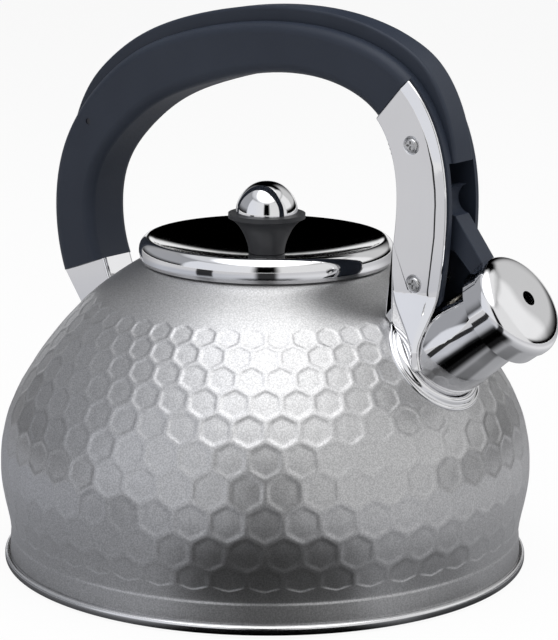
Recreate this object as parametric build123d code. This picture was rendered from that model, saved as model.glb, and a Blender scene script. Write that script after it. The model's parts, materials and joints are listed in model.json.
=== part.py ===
from build123d import *
import math
import os

# Stovetop whistling kettle, in millimetres, +Z up.
# The origin is the middle of the base, on the surface that it stands on. +X points to the spout.

# Body wall: the belly's radius, how far inside it the other places of the outline are, and their heights
wall = 0.7
belly_r = 106.2
belly_z = 40.0
foot_inset = 3.2
foot_z = 2.4
waist_inset = 3.7
waist_z = 12.0
shoulder_inset = 13.6
shoulder_z = 80.0
slope_inset = 38.0
slope_z = 108.0
neck_bore_r = 46.0
neck_z = 122.6
neck_slope = 32.0
neck_depth = 9.0
neck_lip = 0.4

# Base: rolled rim, pan, heat-spreading disc and its steel cap
rim_reach = 2.0
rim_lift = 0.6
rim_round = 1.4
rim_inner_lip = 1.6
pan_wall = 0.8
pan_z = 3.6
cap_disc_inset = 13.0
cap_wall = 0.7
cap_round = 0.6
disc_gap = 0.05
seam_gap = 0.1

# Spout: axis through a point on the XZ plane, inside the belly's radius, and outline given along that axis
spout_inset = 6.2
spout_z = 106.0
spout_tilt = 35.7
spout_root_r = 17.2
spout_mid_r = 15.7
spout_root_s = -40.0
spout_straight_s = -14.0
spout_mid_s = 5.0
spout_tip_s = 17.0
spout_lip_lean = 17.0
spout_wall = 0.8
flange_width = 5.2
flange_rise = 1.2
collar_width = 2.2
collar_rise = 2.4
weld_gap = 0.05

# Whistle cap on the spout: shell, disc and seal
cap_r = 20.2
cap_rear_s = 13.0
cap_seam_s = 20.0
cap_apex_s = 27.6
cap_fullness = 0.76
cap_shell = 0.9
cap_step = 0.5
cap_bead = 0.8
whistle_hole_r = 3.0
disc_hole_r = 1.4
disc_wall = 0.8
lip_play = 2.0
seal_height = 2.0
seal_width = 4.0
seal_gap = 0.3
cap_screw_r = 1.1
cap_screw_head_r = 2.0
cap_screw_head_h = 1.4
cap_screw_length = 8.0

# Handle stations: distance inside the belly's radius and height of the crown line, then the handle's depth
rear_stations = [
    (7.4, 105.8, 20.9),
    (2.8, 130.0, 20.4),
    (7.7, 159.0, 20.7),
    (22.7, 181.5, 22.0),
    (46.2, 200.2, 22.8),
    (76.2, 211.2, 22.0),
]
grip_stations = [
    (88.2, 217.0, 19.3),
    (56.2, 212.8, 19.6),
    (31.6, 200.5, 21.4),
]
leg_stations = [
    (17.9, 180.0, 22.2),
    (13.3, 157.0, 22.6),
    (13.5, 141.0, 23.0),
    (15.2, 125.0, 23.2),
    (19.0, 105.0, 21.6),
]
grip_width = 24.0
grip_round = 4.0

# Spine strip let into the crown
spine_width = 12.0
spine_rise = 5.8
spine_rise_end = 1.5
spine_fall = 36.0
spine_depth = 6.0
spine_tip_depth = 1.0
spine_tip_z = 161.0
spine_ramp = 34.0
spine_end_z = 169.8
spine_gap = 0.1
spine_round = 1.2

# Front leg: plates, slot and fasteners
plate_wall = 2.0
plate_inset = 0.8
plate_bend_z = 121.0
plate_swell_z = 98.0
heel_inset = 36.7
heel_turn = 28.0
plate_bevel = 4.0
plate_toe_bevel = 2.2
plate_bevel_depth = 1.0
plate_toe_inset = 24.2
plate_toe_z = 92.0
plate_toe_width = 5.2
slot_width = 16.0
slot_back = 4.6
slot_top_z = 169.9
foot_gap = 0.4
screw_insets = [(29.3, 175.9), (27.2, 123.6)]
screw_head_r = 2.6
screw_head_gap = 0.5
screw_head_h = 1.6
screw_sink = 0.8
screw_r = 1.9
screw_length = 9.0
recess_length = 3.4
recess_width = 0.8
recess_depth = 0.9
sleeve_wall = 1.1
fit_gap = 0.05

# Rear bracket: ferrule, tang and pin
ferrule_width = 17.2
ferrule_overhang = 1.2
ferrule_round = 1.5
tang_wall = 3.0
tang_width = 12.0
tang_foot_inset = 15.2
tang_foot_z = 100.0
rear_pin_inset = 23.0
rear_pin_z = 170.0
rear_pin_r = 1.2
rear_pin_sink = 0.4
tang_tail = 3.0

# Whistle lever: pivot, thumb pad and arm, with places given from the pivot
pivot_inset = 21.2
pivot_z = 146.0
pivot_r = 1.6
lever_width = 9.2
lever_round = 0.5
hub_back = 5.5
pad_x = 6.2
pad_height = 15.0
pad_wall = 3.2
scoop_x = 2.6
scoop_z = 9.0
arm_top_x = 7.4
arm_top_z = 4.0
arm_low_z = -9.8
running_gap = 0.05

# Return spring on the pivot pin
wire_r = 0.4
spring_pitch = 1.3
spring_turns = 3
spring_gap = 0.25
spring_leg = 9.8
spring_tail = 5.5
hub_width = 4.0

# Lid: rolled rim, dish, skirt
lid_overhang = 4.6
lid_gap = 0.3
lid_rim_h = 9.2
lid_rim_bulge = 0.8
lid_widest_h = 3.7
lid_shoulder_h = 7.1
lid_edge_lean = 23.5
dish_depth = 6.8
dish_edge = 6.4
lid_wall = 0.8
skirt_gap = 0.6
skirt_wall = 0.6
skirt_depth = 9.5

# Knob: pedestal, dome, screw and washer
knob_foot_r = 7.1
knob_foot_lean = 4.0
knob_waist_r = 9.2
knob_waist_h = 7.4
knob_lip_r = 15.3
knob_height = 15.8
knob_lip_h = 1.8
knob_lip_lean = 66.0
knob_recess = 1.5
knob_dome_r = 12.3
knob_dome_h = 14.2
knob_screw_r = 2.0
knob_screw_grip = 7.5
knob_head_r = 3.8
knob_head_h = 2.6
washer_r = 5.0
washer_h = 1.0


# How finely curves are followed: points along an offset curve, a long one, and halvings of a search
curve_steps = 16
long_curve_steps = 24
search_steps = 40
wire_steps = 12
tiny = 0.001


def flat(points):
    """Points of the XZ plane from pairs of x and z."""
    return [Vector(x, 0, z) for x, z in points]


def line_through(*points):
    """Straight edges through points of the XZ plane."""
    corners = flat(points)
    return [Line(a, b) for a, b in zip(corners, corners[1:])]


def region(*edges):
    """The flat face inside edges that follow each other and close."""
    return Face(Wire(list(edges)))


def outlined(*points):
    """The flat face inside a polygon of the XZ plane."""
    return region(*line_through(*points, points[0]))


def slab(face, low, high):
    """A face of the XZ plane carried along Y, from low to high."""
    return extrude(face.moved(Location((0, low, 0))), amount=high - low, dir=(0, 1, 0))


def turned(face):
    """A face of the XZ plane turned about Z."""
    return revolve(face, axis=Axis.Z, revolution_arc=360)


def ring(inner, outer, low, high):
    """A plain ring about Z, or a disc where inner is zero."""
    return turned(boxed((inner, low), (outer, high)))


def cross_rod(x, z, radius, low, high):
    """A round rod along Y through a place of the XZ plane."""
    middle = Location((x, (low + high) / 2, z), (90, 0, 0))
    return Cylinder(radius, high - low).moved(middle)


def leaning(degrees):
    """The upward direction that leans outward by an angle from upright."""
    lean = math.radians(degrees)
    return Vector(math.sin(lean), 0, math.cos(lean))


def boxed(low, high):
    """The upright rectangle of the XZ plane between two corners."""
    return outlined(low, (high[0], low[1]), high, (low[0], high[1]))


def normal_at(edge, place):
    """The direction to the left of a flat curve, as seen along it."""
    along = edge % place
    return Vector(-along.Z, 0, along.X)


def beside(edge, distance, count=curve_steps):
    """The curve that runs beside a flat curve. The distance is to the left and may change with the place."""
    points = []
    for step in range(count + 1):
        place = step / count
        points.append(edge @ place + normal_at(edge, place) * distance(place))
    return Spline(*points)


# Places that follow from the belly's radius
foot_r = belly_r - foot_inset
waist_r = belly_r - waist_inset
shoulder_r = belly_r - shoulder_inset
slope_r = belly_r - slope_inset
rim_r = foot_r + rim_reach
cap_disc_r = foot_r - cap_disc_inset
spout_x = belly_r - spout_inset
pivot_x = belly_r - pivot_inset
rear_pin_x = rear_pin_inset - belly_r
tang_foot_x = tang_foot_inset - belly_r
plate_toe_x = belly_r - plate_toe_inset
heel_x = belly_r - heel_inset
screw_places = [(belly_r - inset, z) for inset, z in screw_insets]
handle_stations = [(inset - belly_r, z, depth) for inset, z, depth in rear_stations]
handle_stations += [(belly_r - inset, z, depth) for inset, z, depth in grip_stations + leg_stations]

# Body outline and the solids that follow it
neck_r = neck_bore_r + wall + weld_gap
rise_to_neck = Vector(-math.cos(math.radians(neck_slope)), 0, math.sin(math.radians(neck_slope)))
low_wall = Spline(
    *flat([(foot_r, foot_z), (waist_r, waist_z), (belly_r, belly_z)]),
    tangents=[(0, 0, 1), (0, 0, 1)],
)
dome_wall = Spline(
    *flat([(belly_r, belly_z), (shoulder_r, shoulder_z), (slope_r, slope_z), (neck_r, neck_z)]),
    tangents=[(0, 0, 1), rise_to_neck],
)


def wall_curves(offset):
    """The body's outline moved outward by an offset."""
    return [beside(edge, lambda place: -offset) for edge in (low_wall, dome_wall)]


def body_form(offset):
    """The full body, filled, with its outline moved outward by an offset."""
    low, dome = wall_curves(offset)
    top = dome @ 1
    bottom = low @ 0
    closing = line_through((top.X, top.Z), (0, top.Z), (0, bottom.Z), (bottom.X, bottom.Z))
    return turned(region(low, dome, *closing))


def dome_height(radius):
    """The height of the dome's outside at a radius."""
    low, high = 0.0, 1.0
    for _ in range(search_steps):
        middle = (low + high) / 2
        if (dome_wall @ middle).X > radius:
            low = middle
        else:
            high = middle
    return (dome_wall @ low).Z


# Spout axis: local x is the radius, local z runs along the axis
tilt = math.radians(spout_tilt)
spout_plane = Plane(
    origin=(spout_x, 0, spout_z),
    x_dir=(-math.sin(tilt), 0, math.cos(tilt)),
    z_dir=(math.cos(tilt), 0, math.sin(tilt)),
)
spout_place = spout_plane.location
cap_sleeve_r = cap_r - cap_step
cap_bore_r = cap_sleeve_r - cap_shell
spout_lip_r = cap_bore_r - lip_play
seal_s = spout_tip_s + seal_gap
whistle_disc_s = seal_s + seal_height + weld_gap
cap_screw_s = (cap_rear_s + whistle_disc_s) / 2


def spout_point(along, out):
    """A place of the XZ plane, along the spout's axis and out above it."""
    x = spout_x + along * math.cos(tilt) - out * math.sin(tilt)
    z = spout_z + along * math.sin(tilt) + out * math.cos(tilt)
    return (x, z)


def spout_ring(inner, outer, low, high):
    """A ring about the spout's axis."""
    return ring(inner, outer, low, high).moved(spout_place)


def make_body_shell():
    outer = [low_wall, dome_wall]
    inner = wall_curves(-wall)
    top_out = dome_wall @ 1
    top_in = inner[1] @ 1
    foot_out = low_wall @ 0
    foot_in = inner[0] @ 0
    shell = turned(region(*outer, Line(top_out, top_in), *inner, Line(foot_in, foot_out)))
    mouth = ring(0, neck_r, neck_z - neck_depth, neck_z + neck_lip)
    hole = spout_ring(0, spout_root_r + weld_gap, spout_root_s, spout_tip_s)
    return shell - mouth - hole


def make_neck_collar():
    return ring(neck_bore_r, neck_bore_r + wall, neck_z - neck_depth, neck_z + neck_lip)


def make_base_pan():
    groove_in = foot_r - wall - seam_gap
    groove_out = foot_r + seam_gap
    lip_in = groove_in - rim_inner_lip
    top = pan_z + pan_wall
    floor_z = foot_z - seam_gap
    pan = turned(
        outlined(
            (0, pan_z), (lip_in, pan_z), (lip_in, rim_lift), (rim_r, rim_lift), (rim_r, top),
            (groove_out, top), (groove_out, floor_z), (groove_in, floor_z), (groove_in, top), (0, top),
        )
    )
    outer_edges = pan.edges().filter_by(GeomType.CIRCLE).filter_by(lambda e: abs(e.radius - rim_r) < tiny)
    return fillet(outer_edges, rim_round)


def make_base_cap():
    cup = ring(0, cap_disc_r, 0, pan_z - disc_gap)
    hollow = ring(0, cap_disc_r - cap_wall, cap_wall, pan_z)
    low_edge = cup.edges().filter_by(GeomType.CIRCLE).sort_by(Axis.Z)[0]
    return fillet(low_edge, cap_round) - hollow


def make_heat_disc():
    return ring(0, cap_disc_r - cap_wall - disc_gap, cap_wall + disc_gap, pan_z - disc_gap)


def make_spout_tube():
    outer = Spline(
        *flat([(spout_root_r, spout_straight_s), (spout_mid_r, spout_mid_s), (spout_lip_r, spout_tip_s)]),
        tangents=[(0, 0, 1), leaning(spout_lip_lean)],
    )
    root = line_through((spout_root_r, spout_root_s), (spout_root_r, spout_straight_s))
    inner = beside(outer, lambda place: spout_wall)
    inner_root = line_through(
        (spout_root_r - spout_wall, spout_straight_s), (spout_root_r - spout_wall, spout_root_s)
    )
    tip = Line(outer @ 1, inner @ 1)
    end = line_through((spout_root_r - spout_wall, spout_root_s), (spout_root_r, spout_root_s))
    tube = turned(region(*root, outer, tip, inner, *inner_root, *end)).moved(spout_place)
    return tube - body_form(-wall)


def flange_form(gap):
    """The space of the spout's flange and its collar, down to the spout's axis, grown by a gap."""
    inner = spout_root_r + weld_gap
    form = body_form(flange_rise + gap) & spout_ring(0, inner + flange_width + gap, spout_root_s, spout_mid_s)
    return form + (
        body_form(collar_rise + gap) & spout_ring(0, inner + collar_width + gap, spout_root_s, spout_mid_s)
    )


def make_spout_flange():
    hole = spout_ring(0, spout_root_r + weld_gap, spout_root_s, spout_tip_s)
    return flange_form(0) - body_form(weld_gap) - hole


# Handle curves
crown = Spline(*flat([(x, z) for x, z, _ in handle_stations]))
crown_places = [crown.param_at_point(Vector(x, 0, z)) for x, z, _ in handle_stations]
inner_points = []
for place, (x, z, depth) in zip(crown_places, handle_stations):
    inner_points.append(Vector(x, 0, z) - normal_at(crown, place) * depth)
inner_face = Spline(*inner_points)
seam_station = len(rear_stations) + len(grip_stations) - 1
seam_place = crown_places[seam_station]
seam_inner_place = inner_face.param_at_point(inner_points[seam_station])
top_place = crown_places[len(rear_stations)]
crown_rear = crown.trim(0, seam_place)
crown_front = crown.trim(seam_place, 1)
inner_rear = inner_face.trim(0, seam_inner_place)
inner_front = inner_face.trim(seam_inner_place, 1)
grip_half = grip_width / 2
core_half = grip_half - plate_wall - fit_gap
screw_bore_r = screw_r + fit_gap
slot_half = slot_width / 2
plate_flare = spout_root_r + 2 * weld_gap + plate_wall - grip_half


def crown_at_height(height, low, high):
    """The place between two others where the crown line is at a height."""
    rising = (crown @ high).Z > (crown @ low).Z
    for _ in range(search_steps):
        middle = (low + high) / 2
        if ((crown @ middle).Z < height) == rising:
            low = middle
        else:
            high = middle
    return low


spine_start = crown_at_height(spine_tip_z, 0, top_place)
spine_end = crown_at_height(spine_end_z, top_place, 1)
spine_line = crown.trim(spine_start, spine_end)


def spine_swell(place):
    """How fully the spine is formed: it swells from nothing at its rear tip to one."""
    return math.sin(math.pi / 2 * min(1, place * spine_line.length / spine_ramp))


def spine_height(place):
    """How far the spine stands above the crown. It falls off towards its front end."""
    front = max(0, 1 - (1 - place) * spine_line.length / spine_fall)
    return spine_swell(place) * (spine_rise + (spine_rise_end - spine_rise) * front)


def spine_floor(place):
    """How deep the spine is let into the crown."""
    return spine_tip_depth + (spine_depth - spine_tip_depth) * spine_swell(place)


def spine_face(extra):
    """The spine's side outline, with its floor and ends moved out by an extra gap."""
    top = beside(spine_line, spine_height, long_curve_steps)
    floor_line = beside(spine_line, lambda place: -spine_floor(place) - extra, long_curve_steps)
    return region(top, Line(top @ 1, floor_line @ 1), floor_line, Line(floor_line @ 0, top @ 0))


def make_handle_spine():
    spine = slab(spine_face(0), -spine_width / 2, spine_width / 2)
    long_edges = spine.edges().filter_by(lambda e: e.length > spine_line.length / 2)
    return fillet(long_edges.sort_by(Axis.Z)[-2:], spine_round)


def front_leg_face():
    """The side outline of the front leg, from the seam to its foot."""
    seam = Line(inner_front @ 0, crown_front @ 0)
    foot = Line(crown_front @ 1, inner_front @ 1)
    return region(seam, crown_front, foot, inner_front)


def make_handle_grip():
    seam = Line(crown_rear @ 1, inner_rear @ 1)
    foot = Line(inner_rear @ 0, crown_rear @ 0)
    grip = slab(region(crown_rear, seam, inner_rear, foot), -grip_half, grip_half)
    long_edges = grip.edges().filter_by(lambda e: e.length > crown_rear.length / 2)
    grip = fillet(long_edges, grip_round)
    grip += slab(front_leg_face(), -core_half, core_half)
    # Channel for the spine, and the slot that the lever works in
    channel_half = spine_width / 2 + spine_gap
    grip -= slab(spine_face(spine_gap), -channel_half, channel_half)
    back = beside(inner_front, lambda place: slot_back)
    reach = belly_r + rim_r
    slot_low = (back @ 1).Z
    slot_edges = [back, *line_through(((back @ 1).X, slot_low), (reach, slot_low), (reach, neck_z + reach))]
    slot_edges.append(Line(Vector(reach, 0, neck_z + reach), back @ 0))
    slot = slab(region(*slot_edges), -slot_half, slot_half)
    low_part = slab(boxed((0, 0), (reach, slot_top_z)), -slot_half, slot_half)
    grip -= slot & low_part
    # Foot on the dome and round the spout
    grip -= body_form(foot_gap)
    grip -= spout_ring(0, spout_root_r + foot_gap, spout_root_s, spout_tip_s)
    grip -= flange_form(foot_gap)
    # Holes for the sleeves, pivot pin, rear pin and tang
    for x, z in screw_places:
        grip -= cross_rod(x, z, screw_bore_r + sleeve_wall + fit_gap, -grip_half, grip_half)
    grip -= cross_rod(pivot_x, pivot_z, pivot_r + fit_gap, -grip_half, grip_half)
    grip -= cross_rod(rear_pin_x, rear_pin_z, rear_pin_r + fit_gap, -grip_half, grip_half)
    grip -= tang(fit_gap)
    return grip


def tang(extra):
    """The strap of the rear bracket that goes up inside the grip, grown by an extra gap."""
    low = Vector(tang_foot_x, 0, tang_foot_z)
    pin = Vector(rear_pin_x, 0, rear_pin_z)
    up = (pin - low).normalized()
    side = Vector(up.Z, 0, -up.X) * (tang_wall / 2 + extra)
    top = pin + up * (tang_tail + extra)
    corners = [(p.X, p.Z) for p in (low - side, low + side, top + side, top - side)]
    half = tang_width / 2 + extra
    return slab(outlined(*corners), -half, half)


def make_rear_bracket():
    outer_foot = crown_rear @ 0
    inner_foot = inner_rear @ 0
    across = (inner_foot - outer_foot).normalized()
    down = Vector(across.Z, 0, -across.X)
    seat = down * fit_gap
    start = outer_foot + seat - across * ferrule_overhang / 2
    end = inner_foot + seat + across * ferrule_overhang
    drop = down * (end.Z - shoulder_z)
    lean = across * ferrule_width / 2
    corners = [(p.X, p.Z) for p in (start, end, end + drop, start + drop + lean)]
    half = ferrule_width / 2
    block = slab(outlined(*corners), -half, half)
    upright = block.edges().filter_by(lambda e: (e % 0.5).cross(down).length < tiny)
    block = fillet(upright, ferrule_round)
    bracket = block + tang(0)
    bracket -= body_form(weld_gap)
    return bracket - cross_rod(rear_pin_x, rear_pin_z, rear_pin_r + fit_gap, -half, half)


def make_rear_pin():
    half = grip_half - rear_pin_sink
    return cross_rod(rear_pin_x, rear_pin_z, rear_pin_r, -half, half)


def swell_share(height):
    """How far the plate has swollen out at a height, from nothing at the bend to one beside the spout."""
    share = min(1, max(0, (plate_bend_z - height) / (plate_bend_z - plate_swell_z)))
    return share * share * (3 - 2 * share)


def plate_swell(depth):
    """The space inside the +Y plate's face, moved in by a depth. Low down it swells out past the spout."""
    side = grip_half - depth
    top_z = (crown @ 0.5).Z
    third = (plate_bend_z - plate_swell_z) / 3
    low = side + plate_flare
    bend = Bezier(
        Vector(0, side, plate_bend_z), Vector(0, side, plate_bend_z - third),
        Vector(0, low, plate_swell_z + third), Vector(0, low, plate_swell_z),
    )
    rest = [(low, plate_swell_z), (low, foot_z), (0, foot_z), (0, top_z), (side, top_z), (side, plate_bend_z)]
    corners = [Vector(0, y, z) for y, z in rest]
    front_view = region(bend, *(Line(a, b) for a, b in zip(corners, corners[1:])))
    return extrude(front_view, amount=belly_r, dir=(1, 0, 0))


def plate_bevel_cut(front_edges):
    """What the bevel takes off along the plate's front edge. It narrows towards the toe."""
    places = [(edge, step / curve_steps) for edge in front_edges for step in range(curve_steps)]
    places.append((front_edges[-1], 1))
    crease = []
    outside = []
    for number, (edge, place) in enumerate(places):
        point = edge @ place
        if number == 0:
            point -= (edge % place) * plate_bevel
        if number == len(places) - 1:
            point += (edge % place) * plate_bevel
        out = normal_at(edge, place)
        width = plate_bevel + (plate_toe_bevel - plate_bevel) * swell_share(point.Z)
        inner = point - out * width
        outer = point + out * width
        inner_y = grip_half + plate_flare * swell_share(inner.Z)
        outer_y = grip_half + plate_flare * swell_share(outer.Z) - 2 * plate_bevel_depth
        crease.append(Vector(inner.X, inner_y, inner.Z))
        outside.append(Vector(outer.X, outer_y, outer.Z))
    slope = Face.make_surface_from_curves(Spline(*crease), Spline(*outside))
    return extrude(slope, amount=grip_width, dir=(0, 1, 0))


def plate_heel(depth):
    """The space inside the upright facet at the plate's heel, moved in by a depth."""
    side = grip_half - depth
    turn = math.radians(heel_turn)
    heel = heel_x + depth * math.tan(turn / 2)
    spread = (belly_r - heel) * math.tan(turn)
    plan = [(0, 0), (belly_r, 0), (belly_r, side + spread), (heel, side), (0, side), (0, 0)]
    corners = [Vector(x, y, foot_z) for x, y in plan]
    top_view = region(*(Line(a, b) for a, b in zip(corners, corners[1:])))
    return extrude(top_view, amount=(crown @ 0.5).Z, dir=(0, 0, 1))


def make_bracket_plate():
    """The plate on the +Y side. Its lower part swells outward to stand beside the spout."""
    inset = beside(crown_front, lambda place: -plate_inset)
    seam = Line(inner_front @ 0, inset @ 0)
    rear_foot = inner_front @ 1
    toe_front = Vector(plate_toe_x + plate_toe_width, 0, plate_toe_z)
    front_toe = TangentArc(inset @ 1, toe_front, tangent=inset % 1)
    toe = line_through((toe_front.X, toe_front.Z), (plate_toe_x, plate_toe_z), (rear_foot.X, rear_foot.Z))
    side_view = slab(region(seam, inset, front_toe, *toe, inner_front), 0, cap_r + grip_width)
    plate = side_view & plate_swell(0)
    plate = (plate & plate_heel(0)) - (plate_swell(plate_wall) & plate_heel(plate_wall))
    plate -= plate_bevel_cut([inset, front_toe])
    plate -= body_form(weld_gap)
    plate -= spout_ring(0, spout_root_r + weld_gap, spout_root_s, spout_tip_s)
    plate -= flange_form(weld_gap)
    for x, z in screw_places:
        plate -= cross_rod(x, z, screw_bore_r, 0, grip_half)
        plate -= cross_rod(x, z, screw_head_r + screw_head_gap, grip_half - screw_sink, grip_width)
    return plate


def make_screw(x, z):
    """A cross-recess screw on the +Y side, with its head outward."""
    seat = grip_half - screw_sink
    head = Cylinder(screw_head_r, screw_head_h)
    top_edge = head.edges().filter_by(GeomType.CIRCLE).sort_by(Axis.Z)[-1]
    head = fillet(top_edge, screw_head_h / 2)
    for turn in (0, 90):
        groove = Box(recess_length, recess_width, recess_depth * 2)
        head -= groove.moved(Location((0, 0, screw_head_h / 2), (0, 0, turn)))
    head = head.moved(Location((x, seat + screw_head_h / 2, z), (-90, 0, 0)))
    return head + cross_rod(x, z, screw_r, seat - screw_length, seat)


def make_sleeve(x, z):
    tube = cross_rod(x, z, screw_bore_r + sleeve_wall, -core_half, core_half)
    return tube - cross_rod(x, z, screw_bore_r, -core_half, core_half)


def make_lever():
    half = lever_width / 2

    def from_pivot(x, z):
        return (pivot_x + x, pivot_z + z)

    end_top = spout_point(cap_seam_s - weld_gap, cap_sleeve_r)
    end_low = spout_point(cap_rear_s, cap_bore_r)
    arm_top = from_pivot(arm_top_x, arm_top_z)
    pad_top = from_pivot(pad_x, pad_height)
    scoop = ThreePointArc(*flat([arm_top, from_pivot(scoop_x, scoop_z), pad_top]))
    back = line_through(
        pad_top,
        from_pivot(pad_x - pad_wall, pad_height),
        from_pivot(-hub_back, hub_back),
        from_pivot(-hub_back, -hub_back / 2),
        from_pivot(-hub_back / 2, -hub_back),
        from_pivot(arm_top_x, arm_low_z),
        end_low,
        end_top,
        arm_top,
    )
    lever = slab(region(scoop, *back), -half, half)
    side_edges = lever.edges().filter_by(lambda e: abs(abs((e @ 0.5).Y) - half) < tiny)
    lever = fillet(side_edges, lever_round)
    lever -= spout_ring(0, cap_sleeve_r + weld_gap, cap_rear_s - cap_r, cap_apex_s)
    lever -= radial_rod(cap_screw_r + fit_gap, cap_bore_r, cap_bore_r + cap_screw_length + fit_gap)
    lever -= cross_rod(pivot_x, pivot_z, pivot_r + running_gap, -half, half)
    # Pocket beside the hub for the spring's coil and its two legs
    coil_r = pivot_r + spring_gap + 2 * wire_r + spring_gap
    hub_face = hub_width - half
    mean_r = pivot_r + spring_gap + wire_r
    side = wire_r + spring_gap
    lever -= cross_rod(pivot_x, pivot_z, coil_r, hub_face, half)
    leg_room = boxed(from_pivot(-spring_leg, mean_r - side), from_pivot(0, mean_r + side))
    tail_room = boxed(from_pivot(mean_r - side, -spring_tail - side), from_pivot(mean_r + side, 0))
    lever -= slab(leg_room, hub_face, half)
    lever -= slab(tail_room, hub_face, half)
    return lever


def spring_path():
    """Centre line of the spring: a leg, coils made of pairs of tangent arcs, and a tail."""
    radius = pivot_r + spring_gap + wire_r
    start_y = hub_width - lever_width / 2 + spring_gap + wire_r
    quarters = 4 * spring_turns + 1
    slope = spring_pitch / (2 * math.pi)
    points = []
    tangents = []
    for step in range(quarters + 1):
        angle = math.pi / 2 * (1 - step)
        turned_by = step / 4
        points.append(
            Vector(
                pivot_x + radius * math.cos(angle),
                start_y + spring_pitch * turned_by,
                pivot_z + radius * math.sin(angle),
            )
        )
        along = Vector(radius * math.sin(angle), slope, -radius * math.cos(angle))
        if step in (0, quarters):
            along = Vector(along.X, 0, along.Z)
        tangents.append(along.normalized())
    edges = [Line(points[0] - tangents[0] * spring_leg, points[0])]
    for a, b, ta, tb in zip(points, points[1:], tangents, tangents[1:]):
        span = b - a
        both = ta + tb
        square = 2 * ta.dot(tb) - 2
        reach = (-2 * span.dot(both) + math.sqrt((2 * span.dot(both)) ** 2 - 4 * square * span.dot(span))) / (
            -2 * square
        )
        reach = abs(reach)
        middle = (a + ta * reach + b - tb * reach) * 0.5
        edges.append(TangentArc(a, middle, tangent=ta))
        edges.append(TangentArc(middle, b, tangent=b - tb * reach - a - ta * reach))
    edges.append(Line(points[-1], points[-1] + tangents[-1] * spring_tail))
    return edges


def least_gap(edges, radius, half_turn):
    """The least gap of a wire to itself, measured on points at least half a turn apart along it."""
    places = []
    length = 0.0
    for edge in edges:
        for step in range(wire_steps):
            share = step / wire_steps
            places.append((length + edge.length * share, edge @ share))
        length += edge.length
    gap = length
    for index, (at, point) in enumerate(places):
        for other_at, other in places[index + 1:]:
            if other_at - at > half_turn:
                gap = min(gap, (other - point).length - 2 * radius)
    return gap


def make_spring():
    edges = spring_path()
    half_turn = math.pi * (pivot_r + spring_gap + wire_r)
    gap = least_gap(edges, wire_r, half_turn)
    print("least gap of the lever spring to itself:", round(gap, 3), "mm")
    path = Wire(edges)
    start = Plane(origin=path @ 0, z_dir=path % 0)
    return sweep(start * Circle(wire_r), path=path)


def make_whistle_cap():
    edge_s = cap_seam_s + cap_bead
    swell = cap_apex_s - edge_s
    outer = Spline(
        *flat([(cap_r, edge_s), (cap_r * cap_fullness, edge_s + swell * cap_fullness), (0, cap_apex_s)]),
        tangents=[(0, 0, 1), (-1, 0, 0)],
    )
    inner = beside(outer, lambda place: cap_shell)
    start = inner @ 0
    end = inner @ 1
    sleeve = line_through(
        (start.X, start.Z), (cap_bore_r, cap_seam_s), (cap_bore_r, cap_rear_s), (cap_sleeve_r, cap_rear_s),
        (cap_sleeve_r, cap_seam_s), (cap_r, cap_seam_s), (cap_r, edge_s),
    )
    axis_line = Line(outer @ 1, end)
    shell = turned(region(*sleeve, outer, axis_line, inner))
    shell -= ring(0, whistle_hole_r, cap_seam_s, cap_apex_s + cap_shell)
    return shell.moved(spout_place) - radial_rod(cap_screw_r + fit_gap, 0, cap_r)


def radial_rod(radius, low, high):
    """A rod square to the spout's axis, through the cap's top behind the whistle disc, by distance out."""
    rod = Cylinder(radius, high - low).moved(Location(((low + high) / 2, 0, cap_screw_s), (0, 90, 0)))
    return rod.moved(spout_place)


def make_whistle_disc():
    return spout_ring(disc_hole_r, cap_bore_r - weld_gap, whistle_disc_s, whistle_disc_s + disc_wall)


def make_cap_seal():
    outer = spout_lip_r + seal_gap
    return spout_ring(outer - seal_width, outer, seal_s, seal_s + seal_height)


def make_cap_screw():
    seat = math.sqrt(cap_bore_r ** 2 - cap_screw_head_r ** 2) - weld_gap
    shank = radial_rod(cap_screw_r, seat, cap_bore_r + cap_screw_length)
    return shank + radial_rod(cap_screw_head_r, seat - cap_screw_head_h, seat)


# Lid, built up from the dome under its rim
lid_r = neck_bore_r + lid_overhang
lid_z = dome_height(lid_r - lid_rim_bulge - lid_wall) + lid_gap
crest_z = lid_z + lid_rim_h
dish_z = crest_z - dish_depth
dish_r = lid_r - dish_edge
dish_edge_z = crest_z - lid_rim_bulge
dish_lean = 2 * math.atan2(dish_edge_z - dish_z, dish_r)
dish_line = TangentArc(*flat([(0, dish_z), (dish_r, dish_edge_z)]), tangent=(1, 0, 0))
rim_line = Spline(
    *flat([
        (lid_r - lid_rim_bulge, lid_z),
        (lid_r, lid_z + lid_widest_h),
        (lid_r - lid_rim_bulge, lid_z + lid_shoulder_h),
        ((lid_r + dish_r) / 2, crest_z),
        (dish_r, dish_edge_z),
    ]),
    tangents=[leaning(lid_edge_lean), (-math.cos(dish_lean), 0, -math.sin(dish_lean))],
)


def lid_under(gap):
    """The lid's underside, moved down by a gap, in two curves from the rim's edge to the middle."""
    depth = lid_wall + gap
    return [beside(rim_line, lambda place: depth, long_curve_steps), beside(dish_line, lambda place: -depth)]


def make_lid_dish():
    rim_under, dish_under = lid_under(0)
    edge = Line(rim_under @ 0, rim_line @ 0)
    axis_line = Line(dish_line @ 0, dish_under @ 0)
    dish = turned(region(edge, rim_line, dish_line, axis_line, dish_under, rim_under))
    return dish - ring(0, knob_screw_r + fit_gap, dish_z - dish_depth, crest_z)


def make_lid_skirt():
    outer = neck_bore_r - skirt_gap
    low = lid_z - skirt_depth
    rim_under, dish_under = lid_under(weld_gap)
    start = rim_under @ 0
    middle = dish_under @ 0
    below = line_through((middle.X, middle.Z), (0, low), (start.X, low), (start.X, start.Z))
    space = turned(region(rim_under, dish_under, *below))
    return space & ring(outer - skirt_wall, outer, low, crest_z)


knob_z = dish_z + lid_gap


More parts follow.
